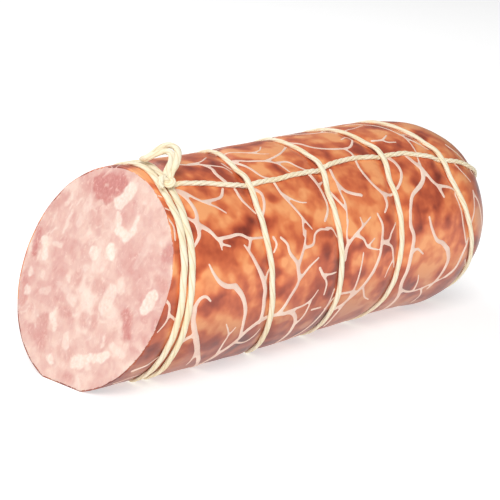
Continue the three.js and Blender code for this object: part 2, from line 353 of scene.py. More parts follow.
# ---- Meat filling -----------------------------------------------------------------------
# Coarse pieces of cured ham in a fine pink paste, with cream cubes and slivers of fat. One
# long knife cut shows them all, and leaves the firm pieces a hair proud of the soft paste.

FACE_STEPS = 220
CASING_WALL = 0.6

# Pieces in the cut, each a capsule: from one point to another in mm across the face, with
# +u to the front and +v up from the middle, then its half width and how far it shows, 0 to 1
FAT_PIECES = [
    (3.5, 34.0, 9.0, 41.0, 3.3, 0.75), (4.9, 28.6, 8.0, 23.0, 1.6, 0.7),
    (8.0, 22.8, 13.2, 20.6, 2.2, 0.75), (13.2, 20.6, 16.6, 24.6, 1.8, 0.7),
    (16.6, 24.6, 16.5, 30.0, 1.2, 0.6), (6.4, 13.6, 7.4, 10.4, 2.2, 1.0),
    (-3.8, 10.6, -2.4, 9.0, 2.6, 0.7), (11.8, -11.0, 13.6, -4.0, 3.4, 0.6),
    (36.0, -5.6, 38.2, -0.6, 3.3, 0.8), (18.0, 1.0, 19.0, -2.0, 2.4, 0.4),
    (14.8, -34.0, 21.6, -31.0, 1.9, 0.8), (3.4, -38.6, 10.8, -35.0, 2.9, 0.75),
    (-37.0, 9.0, -33.6, 2.4, 1.9, 0.75), (-6.4, -29.6, -5.0, -32.4, 2.2, 0.5),
    (-19.0, -22.4, -14.6, -27.0, 1.5, 0.65), (-12.6, -40.6, -12.0, -41.4, 2.0, 0.75),
    (-9.4, -12.6, -8.0, -13.4, 2.6, 0.45), (-14.6, -4.2, -14.2, -5.4, 1.5, 0.5),
    (-31.6, -5.8, -31.2, -6.8, 1.4, 0.5), (-40.0, -6.4, -39.4, -7.6, 1.5, 0.55),
    (-39.0, -15.0, -38.4, -16.0, 2.0, 0.6), (-6.0, 2.8, -5.0, 2.2, 1.8, 0.4),
    (-26.4, 15.0, -23.6, 24.0, 1.1, 0.5), (-29.4, 27.0, -27.4, 31.4, 1.2, 0.5),
    (16.4, -23.0, 17.4, -27.6, 0.8, 0.6), (12.2, -38.4, 12.8, -39.0, 1.4, 0.5),
    (-30.0, 8.6, -25.4, 9.4, 1.2, 0.5), (-18.0, 20.0, -15.0, 30.0, 2.2, 0.3),
    (-20.0, -8.0, -12.0, -10.0, 1.6, 0.3), (24.0, 10.0, 27.0, 22.0, 2.0, 0.25),
    (-2.0, -8.0, 3.0, -12.0, 1.6, 0.35), (-30.0, -14.0, -25.0, -12.0, 1.5, 0.35),
    (24.0, -26.0, 30.0, -28.0, 1.8, 0.4),
]
LEAN_PIECES = [
    (-11.5, 39.4, 1.0, 41.6, 5.0, 1.0), (-10.4, 36.8, -5.0, 35.4, 4.0, 0.9),
    (25.8, -11.4, 29.6, -19.4, 3.0, 0.85), (-41.0, 11.6, -41.2, 1.4, 2.0, 0.9),
    (-23.2, -25.0, -19.4, -37.0, 3.2, 0.55), (-6.0, -34.4, -1.8, -35.6, 3.8, 0.4),
    (2.6, -19.4, 6.8, -20.2, 3.8, 0.5), (-13.6, -18.2, -9.4, -19.0, 2.6, 0.6),
    (39.6, 20.4, 40.4, 17.0, 3.0, 0.55), (38.6, 7.4, 42.6, 5.6, 2.8, 0.5),
    (-42.2, -12.6, -40.8, -20.6, 3.2, 0.6), (-9.4, -1.6, -8.2, -3.6, 2.6, 0.45),
    (3.6, -3.4, 7.4, -4.2, 3.0, 0.4), (-5.4, 31.2, 1.4, 29.8, 4.0, 0.35),
    (8.6, 26.6, 10.6, 25.4, 2.2, 0.35), (-16.8, 7.6, -15.2, 6.6, 2.6, 0.4),
    (30.0, 34.0, 34.0, 28.0, 3.0, 0.25), (-30.0, -31.0, -27.0, -34.0, 2.2, 0.3),
    (20.0, 12.0, 26.0, 8.0, 4.2, 0.2), (26.0, 2.5, 29.5, -3.5, 3.4, 0.25),
    (-2.0, -45.6, 5.0, -46.0, 2.0, 0.35), (-37.0, 24.0, -31.0, 31.0, 2.6, 0.45),
    (-22.0, 34.0, -17.0, 38.0, 3.0, 0.3), (-33.0, 13.0, -36.0, 18.0, 2.2, 0.35),
]
SMALL_FAT_COUNT = 110
SMALL_LEAN_COUNT = 60
FAT_EDGE = 0.7
LEAN_EDGE = 1.5


def scattered(count, seed, longest, widest, faintest):
    """Smaller pieces strewn over the face, most of them slivers."""
    dice = random.Random(seed)
    pieces = []
    for _ in range(count):
        out = RADIUS * math.sqrt(dice.random())
        turn = dice.uniform(0, math.tau)
        length = longest * dice.random() ** 2
        lie = dice.gauss(1.1, 0.7)
        u, v = out * math.cos(turn), out * math.sin(turn)
        half = widest * (0.35 + 0.65 * dice.random() ** 2)
        strength = faintest * dice.uniform(0.4, 1)
        pieces.append((u, v, u + length * math.cos(lie), v + length * math.sin(lie), half, strength))
    return pieces


def showing(u, v, piece, softness):
    """How strongly a piece shows at a point of the face, fading over its soft edge."""
    u1, v1, u2, v2, half, strength = piece
    du, dv = u2 - u1, v2 - v1
    share = ((u - u1) * du + (v - v1) * dv) / (du * du + dv * dv + 1e-9)
    share = min(1.0, max(0.0, share))
    outside = math.hypot(u - u1 - share * du, v - v1 - share * dv) - half
    return strength * smooth(softness, -softness, outside)


def by_cell(pieces, cell):
    """Pieces by the square of the face they can reach, so that few are measured at each point."""
    found = {}
    for piece in pieces:
        reach = piece[4] + 4
        low_u, high_u = sorted((piece[0], piece[2]))
        low_v, high_v = sorted((piece[1], piece[3]))
        for column in range(math.floor((low_u - reach) / cell), math.floor((high_u + reach) / cell) + 1):
            for row in range(math.floor((low_v - reach) / cell), math.floor((high_v + reach) / cell) + 1):
                found.setdefault((column, row), []).append(piece)
    return found


CELL = 6.0
fat_by_cell = by_cell(FAT_PIECES + scattered(SMALL_FAT_COUNT, 5, 6.0, 0.7, 0.55), CELL)
lean_by_cell = by_cell(LEAN_PIECES + scattered(SMALL_LEAN_COUNT, 9, 6.0, 2.2, 0.4), CELL)


def face_mix(u, v):
    """How much fat and how much lean shows at a point, with ragged outlines."""
    spot = Vector((u, v, 0))
    sway = noise.noise_vector(spot / 4.0) * 1.3 + noise.noise_vector(spot / 1.3) * 0.45
    cell = (math.floor(u / CELL), math.floor(v / CELL))
    fat = [showing(u + sway.x, v + sway.y, piece, FAT_EDGE) for piece in fat_by_cell.get(cell, [])]
    lean = [showing(u + sway.y, v + sway.x, piece, LEAN_EDGE) for piece in lean_by_cell.get(cell, [])]
    return max(fat, default=0.0), max(lean, default=0.0)


def pressed(tree, shader, relief, strength, depth):
    """Gives a finish its relief, this many metres deep."""
    values = {"Strength": strength, "Distance": depth, "Height": relief}
    bump = node(tree, "ShaderNodeBump", {}, values, output="Normal")
    tree.links.new(bump.socket, shader.inputs["Normal"])


bm = bmesh.new()
bmesh.ops.create_grid(bm, x_segments=FACE_STEPS, y_segments=FACE_STEPS, size=1.0)
fat_layer = bm.verts.layers.float.new("fat_share")
lean_layer = bm.verts.layers.float.new("lean_share")
outward = Vector((
    -math.cos(CUT_TURN) * math.cos(CUT_LEAN),
    -math.sin(CUT_TURN) * math.cos(CUT_LEAN),
    math.sin(CUT_LEAN),
))
to_front = Vector((-outward.y, outward.x, 0)).normalized()
upward = outward.cross(to_front)
middle = place(CUT_STATION, 0, 0)
for vertex in bm.verts:
    x, y = vertex.co.x, vertex.co.y
    across = x * math.sqrt(1 - y * y / 2)
    up = y * math.sqrt(1 - x * x / 2)
    angle = math.atan2(up, across)
    rim = skin_radius(cut_station(angle, RADIUS), angle) - CASING_WALL * 0.5
    radius = rim * math.hypot(across, up)
    point = place(cut_station(angle, radius), angle, radius)
    u, v = (point - middle).dot(to_front), (point - middle).dot(upward)
    fat, lean = face_mix(u, v)
    vertex[fat_layer] = fat
    vertex[lean_layer] = lean
    proud = 0.12 * fat + 0.07 * lean
    grain = 0.10 * noise.noise(Vector((u / 1.3, v / 1.3, 2))) + 0.16 * noise.noise(Vector((u / 7, v / 7, 5)))
    at_rim = smooth(0, 1.2, rim - radius)
    vertex.co = point + outward * (proud + grain) * at_rim
rim_loop = [edge for edge in bm.edges if edge.is_boundary]
# (station, how far inside the skin); the ones below 0 follow the cut
SIDE_ROWS = [(-14, 1.0), (-11, 1.6), (30, 4.0), (110, 4.0), (195, 4.0), (212, 4.0), (226, 4.2), (235, 5.0)]
for station, inset in SIDE_ROWS:
    pulled = bmesh.ops.extrude_edge_only(bm, edges=rim_loop)["geom"]
    for vertex in (item for item in pulled if isinstance(item, bmesh.types.BMVert)):
        angle = math.atan2(vertex.co.z - AXIS_HEIGHT, -vertex.co.y)
        along = station if station > 0 else cut_station(angle, RADIUS) + 16 + station
        vertex.co = place(along, angle, min(skin_radius(along, angle), dome_radius(along)) - inset)
        vertex[fat_layer] = 0.0
        vertex[lean_layer] = 0.0
    rim_loop = [item for item in pulled if isinstance(item, bmesh.types.BMEdge)]
bmesh.ops.edgeloop_fill(bm, edges=rim_loop)
bmesh.ops.recalc_face_normals(bm, faces=bm.faces)

meat, tree, shader = finish(
    "cut_ham", Specular_IOR_Level=0.45, Subsurface_Weight=0.12, Subsurface_Scale=0.002,
)
shader.inputs["Subsurface Radius"].default_value = (1.0, 0.45, 0.3)
where = node(tree, "ShaderNodeTexCoord", {}, {}, output="Object")
fat_share = node(tree, "ShaderNodeAttribute", {"attribute_name": "fat_share"}, {}, output="Fac")
lean_share = node(tree, "ShaderNodeAttribute", {"attribute_name": "lean_share"}, {}, output="Fac")
broad = speckle(tree, where, 48, 3, 0.5, 0.5)
patch = speckle(tree, where, 150, 4, 0.55, 0.9)
fine = speckle(tree, where, 620, 4, 0.6)
slant = {"Vector": where, "Scale": (1.0, 1.0, 0.42), "Rotation": (0.5, 0, 0)}
fibre = speckle(tree, node(tree, "ShaderNodeMapping", {}, slant), 520, 3, 0.65, 1.4)
mosaic = node(
    tree, "ShaderNodeTexVoronoi", {"feature": "SMOOTH_F1"},
    {"Vector": where, "Scale": 105.0, "Smoothness": 0.35, "Detail": 1.0, "Roughness": 0.5}, output="Color",
)
mosaic = node(tree, "ShaderNodeSeparateColor", {}, {"Color": mosaic}, output="Red")
pale = broad * 1.0 + mosaic * 0.45 + patch * 0.7 - 0.58
paste = node(
    tree, "ShaderNodeValToRGB",
    {"stops": [
        (0.13, srgb(214, 155, 147)), (0.32, srgb(221, 172, 162)), (0.52, srgb(227, 185, 173)),
        (0.72, srgb(233, 197, 183)), (0.92, srgb(241, 214, 200)),
    ]},
    {"Fac": pale},
)
lean_tone = blend(tree, fibre.step(0.35, 0.68), srgb(200, 128, 122), srgb(213, 146, 138))
fat_tone = blend(tree, fine.step(0.3, 0.7), srgb(245, 224, 206), srgb(250, 236, 224))
lean_here = (lean_share * (0.6 + fine * 0.8)).math("MINIMUM", 1.0)
fat_here = (fat_share * (0.65 + fine * 0.7)).math("MINIMUM", 1.0)
tone = blend(tree, lean_here, paste, lean_tone)
tone = blend(tree, fat_here, tone, fat_tone)
tone = blend(tree, fibre.step(0.58, 0.68) * 0.34, tone, srgb(246, 220, 206))
tone = blend(tree, fibre.step(0.42, 0.32) * 0.16, tone, srgb(212, 140, 132))
tree.links.new(tone.socket, shader.inputs["Base Color"])
wetness = 0.34 + fine * 0.22 - fat_share * 0.06
tree.links.new(wetness.socket, shader.inputs["Roughness"])
relief = fine * 0.6 + fibre * 0.5 + patch * 0.7
pressed(tree, shader, relief, 0.35, 0.0006)
finished("ham_filling", bm, meat, "meat", "meat_filling")


# ---- Casing -----------------------------------------------------------------------------
# A thin clear skin, smoked to orange and red-brown over the lean and fat behind it. It is
# cut flush with the meat, and at the far end it is drawn into pleats, a neck and a tuft.

ROUND_STEPS = 240
ROW_PITCH = 1.5
UNCUT_STATION = -24.0
LEAN_ENDS = 230.0
NECK_RADIUS = 4.3
NECK_END = 247.6
TUFT_RADIUS = 7.6
PLEATS = 15


def row_lean(station):
    """How a ring of the mesh leans here, so that each hoop bites along one ring."""
    stops = [hoop[1:] for hoop in HOOPS] + [(LEAN_ENDS, 0.0, 0.0, 0.0, 0.0)]
    if station <= stops[0][0]:
        return stops[0][1:]
    for before, after in zip(stops, stops[1:]):
        if station <= after[0]:
            share = (station - before[0]) / (after[0] - before[0])
            return tuple(a + share * (b - a) for a, b in zip(before[1:], after[1:]))
    return (0.0, 0.0, 0.0, 0.0)


profile = []
rows = round((DOME_START - UNCUT_STATION) / ROW_PITCH)
profile += [(UNCUT_STATION + i * ROW_PITCH, RADIUS) for i in range(rows)]
DOME_ROWS = 46
for i in range(DOME_ROWS + 1):
    turn = math.pi / 2 * i / DOME_ROWS
    radius = max(NECK_RADIUS, RADIUS * math.cos(turn) ** (2 / DOME_POWER))
    if radius > NECK_RADIUS:
        profile.append((dome_station(radius), radius))
neck_start = dome_station(NECK_RADIUS)
profile += [(neck_start + 0.3 + i * 0.55, NECK_RADIUS) for i in range(10)]
TUFT_PROFILE = [
    (0.5, 4.9), (1.3, 6.0), (2.2, 6.9), (3.2, TUFT_RADIUS), (3.6, 7.3),
    (3.0, 6.0), (2.0, 4.2), (1.2, 2.2), (0.9, 0.0),
]
profile += [(NECK_END + beyond, radius) for beyond, radius in TUFT_PROFILE]

bm = bmesh.new()
line = [bm.verts.new((station, 0, radius)) for station, radius in profile]
edges = [bm.edges.new(pair) for pair in zip(line, line[1:])]
bmesh.ops.spin(
    bm, geom=line + edges, axis=(1, 0, 0), cent=(0, 0, 0), steps=ROUND_STEPS, angle=math.tau, use_merge=True,
)
bmesh.ops.remove_doubles(bm, verts=bm.verts, dist=1e-4)
for vertex in bm.verts:
    ring, radius = vertex.co.x, math.hypot(vertex.co.y, vertex.co.z)
    angle = math.atan2(vertex.co.z, -vertex.co.y)
    station = ring + shift_along(row_lean(ring), angle, radius)
    gather = smooth(30, 7, radius) if ring > DOME_START else 0.0
    fold = math.cos(PLEATS * angle + 1.3 * math.sin(2 * angle) + 0.7 * math.sin(5 * angle))
    if ring <= neck_start:
        radius = skin_radius(station, angle) + (radius - dome_radius(ring))
        station += 0.9 * gather * fold - 1.8 * smooth(16, 5, radius) * gather
    elif radius > 0:
        flare = smooth(NECK_END, NECK_END + 3, ring)
        radius *= 1 + (0.10 + 0.10 * flare) * fold + 0.08 * flare * math.sin(3 * angle)
        station += 0.5 * flare * math.sin(4 * angle + 1)
    vertex.co = place(station, angle, radius)
knife = {"plane_co": middle, "plane_no": outward, "clear_outer": True}
bmesh.ops.bisect_plane(bm, geom=bm.verts[:] + bm.edges[:] + bm.faces[:], dist=1e-5, **knife)
rim_loop = [edge for edge in bm.edges if edge.is_boundary]
for depth, inward in ((0.0, CASING_WALL), (3.0, CASING_WALL), (8.0, CASING_WALL)):
    pulled = bmesh.ops.extrude_edge_only(bm, edges=rim_loop)["geom"]
    for vertex in (item for item in pulled if isinstance(item, bmesh.types.BMVert)):
        angle = math.atan2(vertex.co.z - AXIS_HEIGHT, -vertex.co.y)
        along = cut_station(angle, RADIUS) + depth
        radius = skin_radius(along, angle) - inward
        vertex.co = place(cut_station(angle, radius) + depth, angle, radius)
    rim_loop = [item for item in pulled if isinstance(item, bmesh.types.BMEdge)]
bmesh.ops.recalc_face_normals(bm, faces=bm.faces)

casing, tree, shader = finish("smoked_casing", Specular_IOR_Level=0.45, Coat_Weight=0.2, Coat_Roughness=0.32)
where = node(tree, "ShaderNodeTexCoord", {}, {}, output="Object")
drift = speckle(tree, where, 22, 2, 0.5)
cloud = speckle(tree, where, 60, 1, 0.4)
patch = speckle(tree, where, 150, 2, 0.5)
fine = speckle(tree, where, 520, 3, 0.6)
lump = node(
    tree, "ShaderNodeTexVoronoi", {"feature": "SMOOTH_F1"},
    {"Vector": where, "Scale": 105.0, "Smoothness": 0.7, "Detail": 1.0, "Roughness": 0.5}, output="Color",
)
lump = node(tree, "ShaderNodeSeparateColor", {}, {"Color": lump}, output="Red")
warmth = drift * 0.6 + cloud * 0.8 + patch * 0.55 + lump * 0.65 - 0.81
tone = node(
    tree, "ShaderNodeValToRGB",
    {"stops": [
        (0.10, srgb(118, 44, 28)), (0.26, srgb(158, 66, 42)), (0.42, srgb(188, 86, 52)),
        (0.56, srgb(210, 106, 64)), (0.72, srgb(230, 132, 80)), (0.92, srgb(246, 166, 108)),
    ]},
    {"Fac": warmth},
)
height = node(tree, "ShaderNodeSeparateXYZ", {}, {"Vector": where}, output="Z")
# Painted shade and painted reflection haze: the colour is darkened and turned mauve-grey towards the
# underside, standing in for the shade and the whitish reflection of the floor there.
painted_underside_shade = (height + drift * 0.02).step(0.056, 0.018)
tone = blend(tree, painted_underside_shade, tone, srgb(190, 180, 202), "MULTIPLY")
# Painted shade: the colour is darkened towards the far end, which faces away from the key lamp.
painted_far_end_shade = Wire(tree, height.socket.node.outputs["X"]).step(0.076, 0.122)
tone = blend(tree, painted_far_end_shade, tone, srgb(158, 126, 124), "MULTIPLY")
tree.links.new(tone.socket, shader.inputs["Base Color"])
gloss = 0.28 + fine * 0.14 + cloud * 0.08
tree.links.new(gloss.socket, shader.inputs["Roughness"])
relief = patch * 0.8 + fine * 0.25
pressed(tree, shader, relief, 0.25, 0.0008)
finished("sausage_casing", bm, casing, "casing", "casing")


# ---- Veins in the casing ----------------------------------------------------------------
# Pale dried blood vessels of the casing, flat and smooth, a little proud of the skin. Each
# stem starts broad at a fork and runs out to a point; most of them go round the sausage.

VEIN_STEP = 1.0
VEIN_RISE = 0.26

# (width at the root, width at the tip, [(station, degrees), ...])
STEMS = [
    # between the end hoops and the second hoop
    (1.6, 2.0, [(28, 61), (30, 50), (30, 42), (28, 36)]),
    (2.6, 0.9, [(28, 36), (33, 31), (36, 26), (38, 23), (42, 21)]),
    (1.7, 1.2, [(36, 26), (43, 26), (49, 26), (54, 23), (62, 22)]),
    (1.2, 0.7, [(37, 24), (37, 20)]),
    (1.8, 1.2, [(28, 36), (25, 41)]),
    (2.4, 1.1, [(28, 36), (27, 30), (24, 26), (22, 24)]),
    (1.8, 0.9, [(29, 59), (34, 51), (38, 47), (42, 44), (46, 39)]),
    (1.8, 1.3, [(37, 48), (43, 48), (48, 49), (52, 54)]),
    (1.5, 2.2, [(42, 82), (47, 78), (53, 77), (56, 71), (55, 65), (56, 58)]),
    (1.3, 0.8, [(53, 77), (59, 73), (63, 70), (65, 65)]),
    (1.2, 0.8, [(48, 79), (56, 80), (63, 85)]),
    (1.5, 1.0, [(65, 74), (67, 69)]),
    (1.6, 1.3, [(58, 52), (58, 45), (60, 40), (63, 36)]),
    (1.7, 1.2, [(54, 22), (52, 17)]),
    (1.0, 3.0, [(50, 20), (53, 14), (56, 7), (59, 0), (61, -6)]),
    (3.0, 2.2, [(61, -6), (61, -12), (62, -19), (62, -26)]),
    (1.8, 1.3, [(60, -3), (62, 2), (65, 6)]),
    (1.1, 2.7, [(28, 14), (30, 9), (33, 4), (37, 1), (42, 0)]),
    (2.7, 1.6, [(42, 0), (47, -7), (50, -15), (51, -23), (53, -34)]),
    # front of the cut end, and the strip between the face and the end hoops
    (1.3, 1.0, [(14, 60), (19, 57)]),
    (1.3, 1.0, [(13, 51), (19, 47)]),
    (1.4, 1.0, [(14, 45), (16, 38), (14, 30)]),
    (1.5, 1.2, [(4, 0), (6, -3), (6, -8)]),
    (1.3, 0.7, [(6, -8), (5, -12), (1, -17)]),
    (1.5, 1.2, [(6, -8), (10, -12), (13, -17)]),
    (1.1, 2.0, [(28, -5), (25, -2), (22, -3), (20, -7)]),
    (2.2, 3.2, [(20, -7), (20, -14), (22, -21), (25, -28)]),
    (3.0, 1.6, [(25, -28), (30, -38), (38, -52), (44, -66)]),
    (2.2, 1.2, [(23, -23), (19, -26), (16, -32)]),
    (1.8, 0.8, [(28, -35), (30, -43), (31, -52)]),
    (2.0, 1.0, [(-3, -44), (3, -42), (9, -37)]),
    (1.4, 0.8, [(-6, -58), (1, -54), (7, -55)]),
    # the long trunk that runs up from below through the second hoop
    (3.0, 2.4, [(44, -66), (46, -50), (50, -41), (56, -30)]),
    (2.6, 2.0, [(56, -30), (62, -25), (68, -25), (74, -24)]),
    (2.0, 0.8, [(74, -24), (83, -23), (89, -22), (93, -19), (96, -14)]),
    (1.5, 0.9, [(52, -38), (59, -41), (63, -38), (65, -32)]),
    (1.5, 0.7, [(46, -47), (44, -36), (44, -29), (40, -21)]),
    (1.1, 0.6, [(44, -30), (47, -25)]),
    (2.2, 1.8, [(73, -23), (77, -15), (81, -8), (82, -4)]),
    (2.2, 2.0, [(76, -24), (82, -25), (87, -31), (89, -40), (90, -56)]),
    (1.0, 1.6, [(93, -20), (92, -30), (89, -36)]),
    # between the second and the third hoop
    (1.3, 0.9, [(68, 21), (69, 17), (67, 13)]),
    (1.3, 2.4, [(72, 20), (75, 16), (76, 11), (80, 5), (81, 0), (82, -4)]),
    (1.9, 0.8, [(81, 3), (84, 10), (86, 15), (88, 21)]),
    (1.6, 1.0, [(86, 12), (91, 13), (93, 18), (97, 20), (102, 19)]),
    (1.7, 0.9, [(82, -5), (88, 1), (94, 5)]),
    (1.7, 1.2, [(82, 53), (82, 45), (84, 38), (88, 28)]),
    (1.3, 0.7, [(82, 45), (86, 40), (90, 37), (94, 36)]),
    (1.3, 0.7, [(88, 28), (92, 21)]),
    (1.4, 0.8, [(88, 28), (87, 24), (86, 19)]),
    (1.9, 1.0, [(68, 52), (71, 47), (70, 41), (67, 35), (64, 31)]),
    (1.5, 1.3, [(72, 78), (78, 73), (83, 71), (88, 69)]),
    (1.4, 1.1, [(88, 69), (95, 71), (102, 74), (110, 80)]),
    (1.4, 0.9, [(88, 69), (93, 65), (95, 57)]),
    (1.5, 1.1, [(92, 66), (99, 65), (102, 60), (106, 55)]),
    (1.8, 1.2, [(73, 74), (76, 66), (78, 58), (82, 55)]),
    (1.2, 0.7, [(72, 89), (80, 86), (87, 81), (93, 81), (98, 86)]),
    (1.1, 0.6, [(86, 81), (91, 77), (95, 75)]),
    (2.2, 1.3, [(105, 53), (106, 46), (107, 38), (106, 31), (101, 24)]),
    (1.6, 1.0, [(107, 45), (111, 47)]),
    (1.6, 1.0, [(95, -1), (98, -6), (101, -11), (101, -18)]),
    (1.3, 0.8, [(97, -5), (102, -6), (107, -6)]),
    (1.3, 1.0, [(96, -27), (102, -27)]),
    (1.4, 1.8, [(108, -17), (107, -27), (104, -42), (99, -56)]),
    # between the third and the fourth hoop
    (1.4, 1.4, [(114, 92), (119, 82), (122, 74), (130, 69), (139, 67)]),
    (1.5, 0.8, [(139, 67), (144, 68), (150, 74), (150, 78), (144, 76)]),
    (1.4, 1.6, [(139, 67), (140, 61), (137, 50), (139, 40), (143, 33)]),
    (1.9, 1.3, [(143, 33), (148, 31), (153, 32)]),
    (2.0, 1.1, [(144, 31), (144, 26), (141, 22)]),
    (1.5, 1.7, [(119, 53), (118, 46), (120, 39), (124, 36), (129, 34)]),
    (1.4, 0.8, [(118, 45), (117, 38), (117, 30), (115, 20)]),
    (1.6, 1.0, [(111, 43), (113, 36), (116, 28)]),
    (1.3, 1.0, [(101, 20), (105, 19), (108, 14)]),
    (1.3, 2.2, [(136, 22), (138, 15), (137, 7), (136, -1), (133, -11)]),
    (2.2, 2.0, [(133, -11), (128, -19), (121, -27), (114, -36)]),
    (1.6, 0.8, [(137, 6), (142, 6), (144, 10), (148, 15)]),
    (1.6, 0.9, [(139, 5), (144, 2), (146, -4), (149, -12)]),
    (1.0, 0.6, [(146, -7), (144, -12), (143, -17)]),
    (2.2, 0.9, [(112, 0), (114, 8), (119, 13), (125, 17), (131, 21)]),
    (1.2, 0.8, [(125, 17), (124, 22)]),
    (1.7, 0.8, [(119, 13), (124, 10), (127, 5), (134, 2)]),
    (1.1, 0.7, [(128, 6), (132, 9)]),
    (1.0, 0.8, [(114, 8), (114, 15), (116, 22)]),
    (0.9, 1.4, [(124, 2), (123, -8), (122, -20)]),
    (1.6, 1.6, [(106, -29), (113, -22), (119, -21), (124, -22)]),
    (1.4, 1.2, [(122, -21), (119, -36), (121, -54)]),
    (1.3, 0.8, [(128, -19), (133, -28), (138, -32)]),
    # between the fourth and the fifth hoop
    (1.6, 0.9, [(160, 69), (166, 68), (172, 71)]),
    (1.4, 0.8, [(166, 68), (168, 65), (173, 64)]),
    (2.4, 1.4, [(160, 54), (162, 49), (162, 43), (159, 38), (155, 34)]),
    (2.0, 2.6, [(171, 54), (174, 48), (177, 43)]),
    (2.6, 2.0, [(177, 43), (175, 37), (171, 33), (163, 28), (159, 20)]),
    (2.0, 2.8, [(159, 20), (158, 12), (160, 5), (159, -5), (159, -16)]),
    (2.8, 2.2, [(159, -16), (159, -26), (165, -41), (168, -58)]),
    (1.4, 1.0, [(177, 43), (179, 52)]),
    (2.2, 1.7, [(177, 43), (180, 35), (183, 31)]),
    (1.8, 1.0, [(183, 31), (190, 29), (195, 27), (199, 23)]),
    (2.2, 1.5, [(183, 31), (185, 24)]),
    (1.7, 1.0, [(159, -5), (163, -3), (168, -7)]),
    (1.5, 2.8, [(172, 14), (173, 8), (177, 0), (182, -3), (187, -8)]),
    (2.8, 1.4, [(187, -8), (190, -16), (189, -26), (186, -38)]),
    (1.5, 1.2, [(195, 24), (197, 14), (198, 5), (201, -6)]),
    (1.2, 1.1, [(166, 97), (173, 92), (178, 85), (181, 72)]),
    (1.5, 1.0, [(181, 72), (184, 64), (189, 58), (197, 55)]),
    (1.1, 0.7, [(181, 70), (188, 69), (194, 65)]),
    (1.2, 0.8, [(182, 67), (181, 58), (180, 52)]),
    (1.8, 1.2, [(160, -30), (170, -36), (180, -36), (194, -29)]),
    (1.4, 0.8, [(174, -36), (172, -27), (170, -22)]),
    (1.3, 0.9, [(180, -36), (186, -46), (189, -58)]),
    # on the dome
    (1.7, 2.2, [(204, -5), (201, -12), (199, -23), (194, -29)]),
    (1.4, 1.0, [(211, 24), (209, 14), (206, 4)]),
    (1.4, 1.0, [(211, 23), (216, 15), (218, 6), (221, -3)]),
    (1.3, 0.8, [(202, 45), (206, 37), (211, 30)]),
    (1.3, 0.9, [(208, 58), (214, 48), (219, 36)]),
    (1.2, 0.8, [(206, -20), (213, -30), (214, -44)]),
]
GROWN_STEMS = 46


def grown(dice, station, degrees, heading, width, length, depth):
    """A stem that wanders off with its forks, for the sides away from the front."""
    points = [(station, degrees)]
    stems = []
    bend = dice.uniform(-5, 5)
    walked = 0.0
    while walked < length:
        stride = 6.0
        heading += math.radians(bend + dice.gauss(0, 9))
        bend = -bend if dice.random() < 0.18 else bend
        station += stride * math.sin(heading)
        degrees += math.degrees(stride * math.cos(heading) / RADIUS)
        walked += stride
        points.append((station, degrees))
        if depth > 0 and dice.random() < 0.34 and walked < length * 0.85:
            side = dice.choice((-1, 1))
            fork = heading + side * math.radians(dice.uniform(28, 55))
            left = (length - walked) * dice.uniform(0.4, 0.8) + 8
            stems += grown(dice, station, degrees, fork, width * 0.72, left, depth - 1)
    return [(width, width * 0.45, points)] + stems


def hidden_stems():
    dice = random.Random(23)
    stems = []
    for i in range(GROWN_STEMS):
        station = 12 + 205 * ((i * 0.618) % 1) + dice.uniform(-4, 4)
        degrees = dice.uniform(92, 268)
        heading = dice.choice((0, math.pi)) + dice.gauss(0, 0.5)
        grown_here = grown(dice, station, degrees, heading, dice.uniform(1.4, 2.6), dice.uniform(28, 70), 2)
        for root, tip, points in grown_here:
            kept = [p for p in points if -4 < p[0] < 226 and 86 < p[1] < 296]
            if len(kept) == len(points) and len(kept) > 2:
                stems.append((root, tip, kept))
    return stems


def curve_through(points, step):
    """Evenly spaced points on a smooth line through some stops, with any number of values each."""
    ends = [tuple(2 * a - b for a, b in zip(points[0], points[1]))]
    ends += list(points)
    ends.append(tuple(2 * a - b for a, b in zip(points[-1], points[-2])))
    line = []
    for before, start, stop, after in zip(ends, ends[1:], ends[2:], ends[3:]):
        parts = max(2, round(math.dist(start[:3], stop[:3]) / step))
        for i in range(parts):
            t = i / parts
            weights = (
                -0.5 * t + t * t - 0.5 * t**3, 1 - 2.5 * t * t + 1.5 * t**3,
                0.5 * t + 2 * t * t - 1.5 * t**3, -0.5 * t * t + 0.5 * t**3,
            )
            line.append(tuple(
                sum(w * value for w, value in zip(weights, values))
                for values in zip(before, start, stop, after)
            ))
    return line + [tuple(points[-1])]


# The veins are drawn flat as round tubes, fattened a little so that they grow together, and
# thinned again, which leaves a web in each fork. Then they are laid on the skin and pressed down.
WEB = 0.42
VEIN_VOXEL = 0.42
ROUNDING = [(0.5, 0.87), (0.87, 0.5), (0.98, 0.2)]


